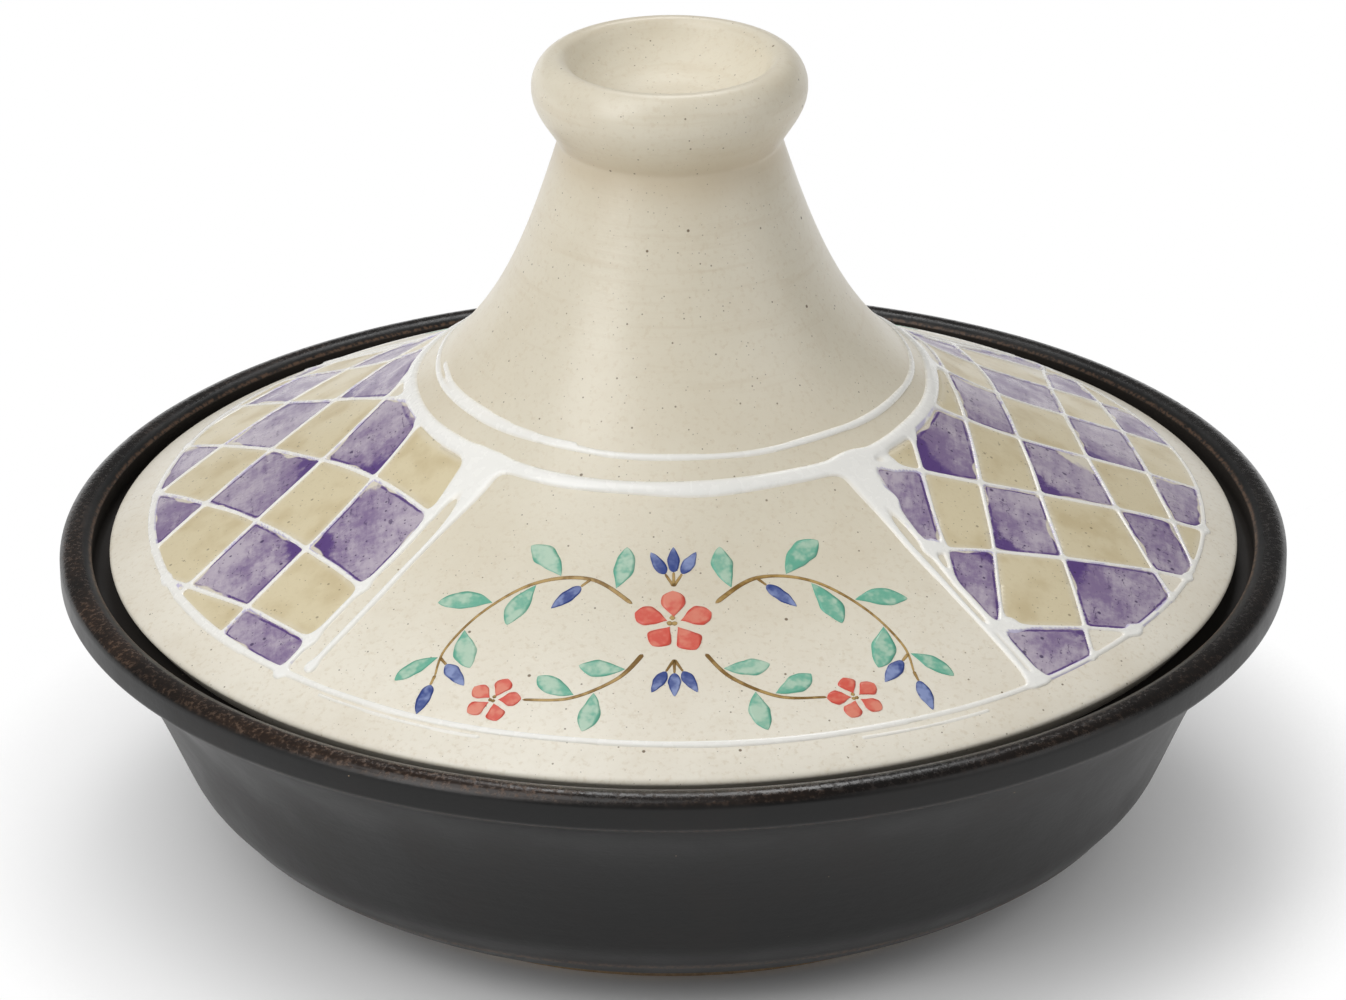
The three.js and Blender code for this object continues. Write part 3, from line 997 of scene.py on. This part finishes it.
def cream_glaze(colours):
    """Cream glaze over pale clay, with iron specks, pinholes and faint lines from throwing."""
    finish = Finish("cream_glaze")
    cloud = finish.noise(30 * MM, 3)
    grain = finish.noise(1.1 * MM, 3, 0.6)
    rings = finish.noise(1.7 * MM, 3, 0.6, finish.stretched(0.05, 0.05, 1))
    where = finish.add("ShaderNodeSeparateXYZ", {"Vector": finish.place}).outputs
    rings = finish.calc("MULTIPLY", rings, finish.fade(where["Z"], 0.092, 0.112, 0.2, 1.0))
    # Warm cream at random through the glaze, and painted shade in the crease under the knob.
    warmth_and_crease_shade = finish.calc("MULTIPLY_ADD", finish.trait("toasted"), 0.7, finish.fade(cloud, 0.4, 0.75, 0, 0.25))
    # Paler towards the brim.
    run_down = finish.calc("MULTIPLY_ADD", cloud, 0.2, finish.calc("ADD", finish.trait("run_down"), -0.1))
    tone = finish.mix(finish.fade(run_down, 0.1, 1), colours.cream, colours.cream_pale)
    tone = finish.mix(warmth_and_crease_shade, tone, colours.cream_warm)
    tone = finish.mix(finish.fade(rings, 0.5, 0.72, 0, 0.3), tone, colours.cream_warm)
    tone = finish.mix(finish.fade(grain, 0.5, 0.75, 0, 0.45), tone, colours.cream_warm)
    patches = finish.fade(finish.noise(6 * MM, 3, 0.6), 0.48, 0.72, 0, 0.14)
    tone = finish.mix(patches, tone, colours.cream_warm)
    for pitch, radius, strength in ((6, 0.45, 0.9), (2.4, 0.27, 0.75), (1.2, 0.18, 0.5)):
        spots = finish.calc("MULTIPLY", finish.specks(pitch * MM, radius * MM, 0.7), strength)
        tone = finish.mix(spots, tone, colours.iron)
    bare = finish.fade(finish.trait("bare_clay"), 0.4, 0.6)
    clay = finish.mix(finish.fade(grain, 0.3, 0.7, 0, 0.4), colours.clay, colours.cream_warm)
    tone = finish.mix(bare, tone, clay)
    pinholes = finish.specks(3.1 * MM, 0.28 * MM, 0.3)
    gloss = finish.fade(cloud, 0.3, 0.7, 0.28, 0.36)
    relief = finish.bump(finish.noise(4.5 * MM, 2), 0.05 * MM)
    relief = finish.bump(finish.noise(1.9 * MM, 2), 0.05 * MM, 1, relief)
    relief = finish.bump(rings, 0.07 * MM, 1, relief)
    relief = finish.bump(finish.calc("SUBTRACT", grain, pinholes), 0.04 * MM, 1, relief)
    gloss = finish.calc("MULTIPLY_ADD", bare, 0.4, gloss)
    gloss = finish.calc("MULTIPLY_ADD", finish.trait("matt"), 0.2, gloss)
    finish.set(base_color=tone, roughness=gloss, normal=relief)
    return finish.material


def white_slip(colours):
    """Glossy white slip, creamier where it lies thin, with a breath of purple at its edges."""
    finish = Finish("white_slip")
    grain = finish.noise(2.2 * MM, 2)
    depth = finish.calc("MULTIPLY_ADD", grain, 0.16, finish.calc("ADD", finish.trait("slip_depth"), -0.08))
    tone = finish.mix(finish.fade(depth, 0.1, 0.75), colours.slip_thin, colours.slip)
    stain = finish.calc("MULTIPLY", finish.trait("stain"), finish.fade(finish.noise(5 * MM, 2), 0.4, 0.58))
    tone = finish.mix(finish.calc("MULTIPLY", stain, 0.8), tone, colours.lavender)
    relief = finish.bump(finish.noise(3 * MM, 2), 0.02 * MM)
    finish.set(base_color=tone, roughness=finish.fade(grain, 0.3, 0.7, 0.2, 0.3), normal=relief)
    return finish.material


def tan_wash(colours):
    """Thin tan wash with brown clouds and specks, paler towards the lines."""
    finish = Finish("tan_wash")
    cloud = finish.noise(9 * MM, 3)
    fine = finish.noise(0.9 * MM, 3, 0.6)
    tone = finish.mix(finish.fade(cloud, 0.42, 0.72, 0, 0.75), colours.tan, colours.tan_deep)
    tone = finish.mix(finish.fade(fine, 0.5, 0.78, 0, 0.3), tone, colours.tan_deep)
    by_line = finish.fade(finish.trait("edge"), 0.4, 1.8, 0.45, 0)
    dry = finish.fade(finish.trait("dry"), 0.4, 0.8, 0, 0.8)
    tone = finish.mix(finish.calc("MAXIMUM", by_line, dry), tone, colours.cream)
    for pitch, radius, share in ((0.9, 0.2, 0.5), (2.2, 0.42, 0.6)):
        spots = finish.calc("MULTIPLY", finish.specks(pitch * MM, radius * MM, share), 0.55)
        tone = finish.mix(spots, tone, colours.iron)
    relief = finish.bump(finish.noise(2.5 * MM, 3), 0.03 * MM)
    finish.set(base_color=tone, roughness=finish.fade(cloud, 0.3, 0.7, 0.28, 0.38), normal=relief)
    return finish.material


def purple_wash(colours):
    """Purple wash: mottled and streaked, dark where it pooled and along its edges, with corners left dry."""
    finish = Finish("purple_wash")
    cloud = finish.noise(7 * MM, 3)
    fine = finish.noise(1.5 * MM, 5, 0.72)
    streaks = finish.noise(1.3 * MM, 3, 0.6, finish.stretched(1, 0.14, 0.6))
    load = finish.calc("MULTIPLY_ADD", finish.trait("pool"), 0.24, cloud)
    load = finish.calc("MULTIPLY_ADD", finish.trait("tone"), 0.16, load)
    load = finish.calc("MULTIPLY_ADD", fine, 0.7, finish.calc("MULTIPLY_ADD", streaks, 0.45, load))
    tone = finish.mix(finish.fade(load, 0.84, 1.42), colours.purple_pale, colours.purple)
    ragged = finish.calc("MULTIPLY_ADD", cloud, 0.7, finish.calc("MULTIPLY_ADD", fine, 0.3, -0.5))
    pool = finish.fade(finish.calc("ADD", finish.trait("pool"), ragged), 0.5, 0.66, 0, 0.92)
    near = finish.calc("MULTIPLY_ADD", fine, 0.7, finish.calc("ADD", finish.trait("edge"), -0.35))
    outline = finish.calc("MULTIPLY", finish.fade(near, 0.5, 0.7), finish.fade(near, 0.9, 1.15, 1, 0))
    outline = finish.calc("MULTIPLY", outline, finish.fade(finish.noise(6 * MM, 2), 0.36, 0.5, 0.15, 0.95))
    tone = finish.mix(finish.calc("MAXIMUM", pool, outline), tone, colours.purple_deep)
    for pitch, radius, share in ((1.0, 0.27, 0.55), (2.6, 0.55, 0.55)):
        spots = finish.calc("MULTIPLY", finish.specks(pitch * MM, radius * MM, share), 0.8)
        tone = finish.mix(spots, tone, colours.purple_dark)
    thread = finish.calc("ABSOLUTE", finish.calc("ADD", finish.noise(3.4 * MM, 2), -0.5))
    thread = finish.calc("MULTIPLY", finish.fade(thread, 0.006, 0.02, 1, 0), finish.fade(streaks, 0.52, 0.62))
    tone = finish.mix(finish.calc("MULTIPLY", thread, 0.6), tone, colours.purple_dark)
    missed = finish.calc("ADD", finish.trait("edge"), -2.1)
    missed = finish.calc("MULTIPLY_ADD", finish.noise(8 * MM, 1), 4.5, missed)
    dry = finish.fade(finish.calc("ADD", finish.trait("dry"), ragged), 0.6, 0.74, 0, 0.95)
    bare = finish.calc("MAXIMUM", dry, finish.fade(missed, 0.4, 0.75, 0.9, 0))
    tone = finish.mix(bare, tone, colours.cream)
    relief = finish.bump(finish.noise(2.2 * MM, 3), 0.03 * MM)
    finish.set(base_color=tone, roughness=finish.fade(cloud, 0.3, 0.7, 0.24, 0.36), normal=relief)
    return finish.material


def brushed(name, pale, deep):
    """A brushed colour under the glaze, darker along the edge and at the root of a stroke."""
    finish = Finish(name)
    wet = finish.noise(3.2 * MM, 2)
    fine = finish.noise(0.8 * MM, 3, 0.6)
    edge = finish.fade(finish.trait("across"), 0.6, 0.95, 0, 0.45)
    root = finish.fade(finish.trait("along"), 0.02, 0.45, 0.35, 0)
    load = finish.calc("MULTIPLY_ADD", finish.trait("tone"), 0.35, finish.fade(wet, 0.36, 0.64, 0, 0.65))
    load = finish.calc("MULTIPLY_ADD", fine, 0.6, finish.calc("ADD", load, -0.38))
    density = finish.calc("ADD", load, finish.calc("ADD", edge, root))
    relief = finish.bump(finish.noise(2.5 * MM, 2), 0.03 * MM)
    finish.set(
        base_color=finish.mix(finish.fade(density, 0, 1.1), pale, deep),
        roughness=finish.fade(wet, 0.3, 0.7, 0.28, 0.36),
        normal=relief,
    )
    return finish.material


FLOOR_COLOUR = (0.97, 0.97, 0.97, 1)
FLOOR_SHADE = 0.055  # how far from a thing the floor is shaded, in metres


def pale_floor():
    """White where it is seen, shaded by what stands on it, and matt for rays that only carry light."""
    finish = Finish("pale_floor")
    path = finish.add("ShaderNodeLightPath").outputs
    seen = path["Is Camera Ray"]
    for name in ("Is Glossy Ray", "Is Transmission Ray"):
        seen = finish.calc("MAXIMUM", seen, path[name])
    open_sky = finish.add("ShaderNodeAmbientOcclusion", {"Distance": FLOOR_SHADE}, samples=8).outputs["AO"]
    share = finish.calc("MULTIPLY", seen, finish.calc("POWER", open_sky, 2))
    matt = finish.add("ShaderNodeBsdfDiffuse", {"Color": FLOOR_COLOUR}).outputs[0]
    glow = finish.add("ShaderNodeEmission").outputs[0]
    surface = finish.add("ShaderNodeMixShader", {0: share, 1: matt, 2: glow}).outputs[0]
    finish.put(surface, finish.tree.nodes["Material Output"].inputs["Surface"])
    finish.tree.nodes.remove(finish.shader)
    return finish.material


# Operators


class TAGINE_OT_dish(bpy.types.Operator):
    """Make the black-glazed dish"""

    bl_idname = "tagine.dish"
    bl_label = "Dish"

    def execute(self, context):
        settings = context.scene.tagine
        size = settings.dish
        section = dish_section(size)
        lip_inside = size.rim_radius - size.lip_width
        edges = (  # radius, height, reach and share of the edges where the glaze lies thin
            (lip_inside + 0.3 * MM, size.rim_height - 0.9 * MM, 0.45 * MM, 0.8),
            (size.rim_radius - 0.7 * MM, size.rim_height - size.lip_face + 0.8 * MM, 1.1 * MM, 0.35),
            (size.heel_radius, size.heel_height, 1 * MM, 0.7),
        )
        thin = sum(
            share * np.exp(-(np.hypot(section[:, 0] - radius, section[:, 1] - height) / reach) ** 2)
            for radius, height, reach, share in edges
        )
        on_foot = (section[:, 0] < size.foot_radius + 0.5 * MM) & (section[:, 1] <= size.foot_recess)
        above = section[:, 1] - size.rim_height
        beside = section[:, 0] - size.rim_radius
        in_gallery = (beside < 0.1 * MM - size.lip_width) & (above > -size.gallery_depth - 2 * MM)
        traits = {
            "glaze_thin": thin,
            "crest": np.exp(-((np.hypot(beside + size.lip_crest - 1.2 * MM, above) / (2.6 * MM)) ** 4)),
            # The gallery takes a painted lighter black and a rougher gloss.
            "gallery": in_gallery.astype(float),
            "bare_clay": on_foot.astype(float),
        }
        places, faces, traits = turned(section, traits)
        places = out_of_round(places, DISH_THROW)
        glaze = black_glaze(settings.colours)
        dish = make_piece("glazed_dish", places, faces, "dish", glaze, traits)
        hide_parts("base_dish")
        return {"FINISHED"}


class TAGINE_OT_lid(bpy.types.Operator):
    """Make the cream-glazed lid"""

    bl_idname = "tagine.lid"
    bl_label = "Lid"

    def execute(self, context):
        settings = context.scene.tagine
        size = settings.lid
        section = lid_section(size)
        crease = size.seat_height + size.cone_height + size.neck_height
        outside = section[:, 0] > size.neck_radius - 0.5 * MM
        in_cup = (section[:, 0] < size.neck_radius - 2 * MM) & (section[:, 1] > crease)
        traits = {
            # Painted shade: a warmer, darker band in the crease under the knob.
            "toasted": outside * np.exp(-(((section[:, 1] - crease) / (5 * MM)) ** 2)),
            # Paler towards the brim.
            "run_down": np.clip((section[:, 0] - 60 * MM) / (48 * MM), 0, 1),
            "matt": in_cup.astype(float),
            "bare_clay": (section[:, 1] < size.seat_height + 0.2 * MM).astype(float),
        }
        lid = on_lid("glazed_lid", turned(section, traits), cream_glaze(settings.colours))
        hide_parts("lid")
        return {"FINISHED"}


class TAGINE_OT_slip_lines(bpy.types.Operator):
    """Trail the white slip lines over the lid"""

    bl_idname = "tagine.slip_lines"
    bl_label = "Slip lines"

    def execute(self, context):
        settings = context.scene.tagine
        ornament = settings.ornament
        surface = LidSurface(settings.lid)
        plan, faces = ring_grid(ornament.upper_ring - 4 * MM, ornament.outer_ring + 4 * MM, SLIP_GRID)
        coat = SlipCoat(plan, ornament)
        thin = ornament.thin_line
        # Whole rings, and stretches that were trailed twice or strayed
        coat.ring(ornament.upper_ring, 0.8 * thin, 0.6, UPPER_OFF)
        coat.ring(ornament.upper_ring - 1.7 * MM, 0.6 * thin, 0.5, (UPPER_OFF[0], 1.4), -84, -24)
        coat.ring(ornament.middle_ring, ornament.thick_line, 1.1, MIDDLE_OFF)
        coat.ring(ornament.outer_ring, 0.8 * thin, 0.5, OUTER_OFF)
        coat.ring(ornament.outer_ring, 0.9 * thin, 0.55, OUTER_OFF, -125, -52)
        coat.ring(ornament.outer_ring, 0.55 * thin, 0.6, OUTER_OFF, -52, 24)
        coat.ring(ornament.outer_ring + 1.5 * MM, 0.5 * thin, 0.35, OUTER_OFF, -39, -20)
        coat.ring(ornament.outer_ring + 1.6 * MM, 0.5 * thin, 0.35, OUTER_OFF, 19, 33)
        for strokes in panel_borders(ornament):
            for start, finish in strokes:
                coat.line(start, finish, ornament.border_line, 0.8, ornament.border_flare)
                coat.spot(finish, BORDER_END, 0.8)
        for radius, azimuth, reach in PUDDLES:
            coat.spot(polar(radius * MM, math.radians(azimuth)), reach * MM, 0.8)
        for check in side_checks(ornament):
            coat.lattice(check, ornament.lattice_line)
        height = coat.height(ornament.slip_root)
        shown = (height[faces] > 0).any(axis=1)
        faces, plan, height, gathered = only_used(faces[shown], plan, height, coat.gathered)
        stain = np.zeros(len(plan))
        for check in side_checks(ornament):
            column, row = check.column_row(check.cells(plan))
            stain += ((column + row + check.purple) % 2 == 0) & (check.depth(plan) > -0.5 * MM)
        places, skin = shell(surface, plan, faces, height, 1.4 * ornament.slip_root)
        traits = {
            "slip_depth": np.tile(np.clip(height / ornament.slip_rise, 0, 1.5), 2),
            "stain": np.tile(stain * (gathered < 0.85), 2),
        }
        on_lid("slip_lines", (places, skin, traits), white_slip(settings.colours))
        return {"FINISHED"}


class TAGINE_OT_checks(bpy.types.Operator):
    """Brush the tan and purple checks into the side panels"""

    bl_idname = "tagine.checks"
    bl_label = "Checks"

    def execute(self, context):
        settings = context.scene.tagine
        ornament = settings.ornament
        surface = LidSurface(settings.lid)
        cells = {0: [], 1: []}
        for number, check in enumerate(side_checks(ornament)):
            washed = washed_cells(check, surface, ornament.film, ornament.seed + 10 + number)
            for tint, parts in washed.items():
                cells[tint] += parts
        for tint, name, wash in ((0, "checks_purple", purple_wash), (1, "checks_tan", tan_wash)):
            on_lid(name, joined(cells[tint]), wash(settings.colours))
        return {"FINISHED"}


class TAGINE_OT_sprays(bpy.types.Operator):
    """Brush a garland of flowers into the front and back panels"""

    bl_idname = "tagine.sprays"
    bl_label = "Sprays"

    def execute(self, context):
        settings = context.scene.tagine
        ornament = settings.ornament
        colours = settings.colours
        surface = LidSurface(settings.lid)
        strokes = {}
        for turn in (0, math.pi):
            spray = Spray(surface, ornament.film, SPRAY_MIDDLE, turn, ornament.seed + 20)
            draw_garland(spray, ornament)
            for name, parts in spray.strokes.items():
                strokes.setdefault(name, []).extend(parts)
        paints = {
            "petals": (colours.coral_pale, colours.coral),
            "leaves": (colours.teal_pale, colours.teal),
            "buds": (colours.blue_pale, colours.blue),
            "stems": (colours.umber_pale, colours.umber),
        }
        for name, (pale, deep) in paints.items():
            on_lid("painted_" + name, joined(strokes[name]), brushed("brushed_" + name, pale, deep))
        return {"FINISHED"}


# Stage, in metres
FLOOR_REACH, WALL_RISE = 30, 4
LAMP_AIM = Vector((0, 0, 0.07))
LAMPS = (  # setting that holds the power, place, width and height
    ("key", (-0.5, -0.15, 1.7), 0.9, 0.9),
    ("front", (-0.91, -0.75, 0.98), 0.75, 1.2),
    ("back", (0.05, 0.95, 1.4), 0.5, 0.5),
    ("fill", (1.35, -0.55, 0.9), 1.2, 1.2),
)


class TAGINE_OT_stage(bpy.types.Operator):
    """Set the floor, the lamps and the camera"""

    bl_idname = "tagine.stage"
    bl_label = "Stage"

    def execute(self, context):
        scene = context.scene
        stage = scene.tagine.stage
        scene.view_settings.view_transform = "Standard"
        self.make_floor(scene)
        self.light_room(scene, stage)
        for name, place, width, height in LAMPS:
            self.hang_lamp(scene, name + "_lamp", getattr(stage, name), place, width, height)
        self.set_camera(scene, stage)
        return {"FINISHED"}

    def make_floor(self, scene):
        """A floor with low walls far off, so that low views don't look past its edge."""
        sides = ((-1, -1), (1, -1), (1, 1), (-1, 1))
        corners = [(x * FLOOR_REACH, y * FLOOR_REACH, z) for z in (0, WALL_RISE) for x, y in sides]
        walls = [(k, (k + 1) % 4, (k + 1) % 4 + 4, k + 4) for k in range(4)]
        mesh = bpy.data.meshes.new("floor")
        mesh.from_pydata(corners, [], [(0, 1, 2, 3), *walls])
        mesh.materials.append(pale_floor())
        floor = bpy.data.objects.new("floor", mesh)
        scene.collection.objects.link(floor)

    def light_room(self, scene, stage):
        world = bpy.data.worlds.new("room")
        world.use_nodes = True
        scene.world = world
        light = world.node_tree.nodes["Background"]
        light.inputs["Color"].default_value = (1, 1, 1, 1)
        light.inputs["Strength"].default_value = stage.ambient

    def hang_lamp(self, scene, name, watts, place, width, height):
        lamp = bpy.data.lights.new(name, "AREA")
        lamp.energy = watts
        lamp.shape = "RECTANGLE"
        lamp.size = width
        lamp.size_y = height
        hung = bpy.data.objects.new(name, lamp)
        scene.collection.objects.link(hung)
        hung.location = place
        aim = LAMP_AIM - hung.location
        hung.rotation_euler = aim.to_track_quat("-Z", "Y").to_euler()

    def set_camera(self, scene, stage):
        camera = bpy.data.cameras.new("camera")
        camera.lens = stage.lens
        stand = bpy.data.objects.new("camera", camera)
        scene.collection.objects.link(stand)
        rim = Vector((0, 0, scene.tagine.dish.rim_height - 1 * MM))
        back = Vector((0, -math.cos(stage.elevation), math.sin(stage.elevation)))
        stand.location = rim + stage.distance * back
        aim = Vector((0, 0, stage.aim_height)) - stand.location
        stand.rotation_mode = "QUATERNION"
        stand.rotation_quaternion = aim.to_track_quat("-Z", "Y") @ Quaternion((0, 0, 1), stage.roll)
        scene.camera = stand


class TAGINE_PT_panel(bpy.types.Panel):
    """Settings and steps of the tagine"""

    bl_idname = "TAGINE_PT_panel"
    bl_label = "Tagine"
    bl_space_type = "VIEW_3D"
    bl_region_type = "UI"
    bl_category = "Tagine"

    def draw(self, context):
        settings = context.scene.tagine
        for step in STEPS:
            self.layout.operator(step.bl_idname)
        for group in ("dish", "lid", "ornament", "colours", "stage"):
            box = self.layout.box()
            box.label(text=group.title())
            values = getattr(settings, group)
            for name in values.bl_rna.properties.keys():
                if name not in ("rna_type", "name"):
                    box.prop(values, name)


STEPS = (
    TAGINE_OT_dish,
    TAGINE_OT_lid,
    TAGINE_OT_slip_lines,
    TAGINE_OT_checks,
    TAGINE_OT_sprays,
    TAGINE_OT_stage,
)
CLASSES = (
    TAGINE_PG_dish,
    TAGINE_PG_lid,
    TAGINE_PG_ornament,
    TAGINE_PG_colours,
    TAGINE_PG_stage,
    TAGINE_PG_settings,
    *STEPS,
    TAGINE_PT_panel,
)


def register():
    for kind in CLASSES:
        bpy.utils.register_class(kind)
    bpy.types.Scene.tagine = PointerProperty(type=TAGINE_PG_settings)


def unregister():
    del bpy.types.Scene.tagine
    for kind in reversed(CLASSES):
        bpy.utils.unregister_class(kind)


def main():
    register()
    bpy.ops.tagine.dish()
    bpy.ops.tagine.lid()
    bpy.ops.tagine.slip_lines()
    bpy.ops.tagine.checks()
    bpy.ops.tagine.sprays()
    bpy.ops.tagine.stage()


if __name__ == "__main__":
    main()
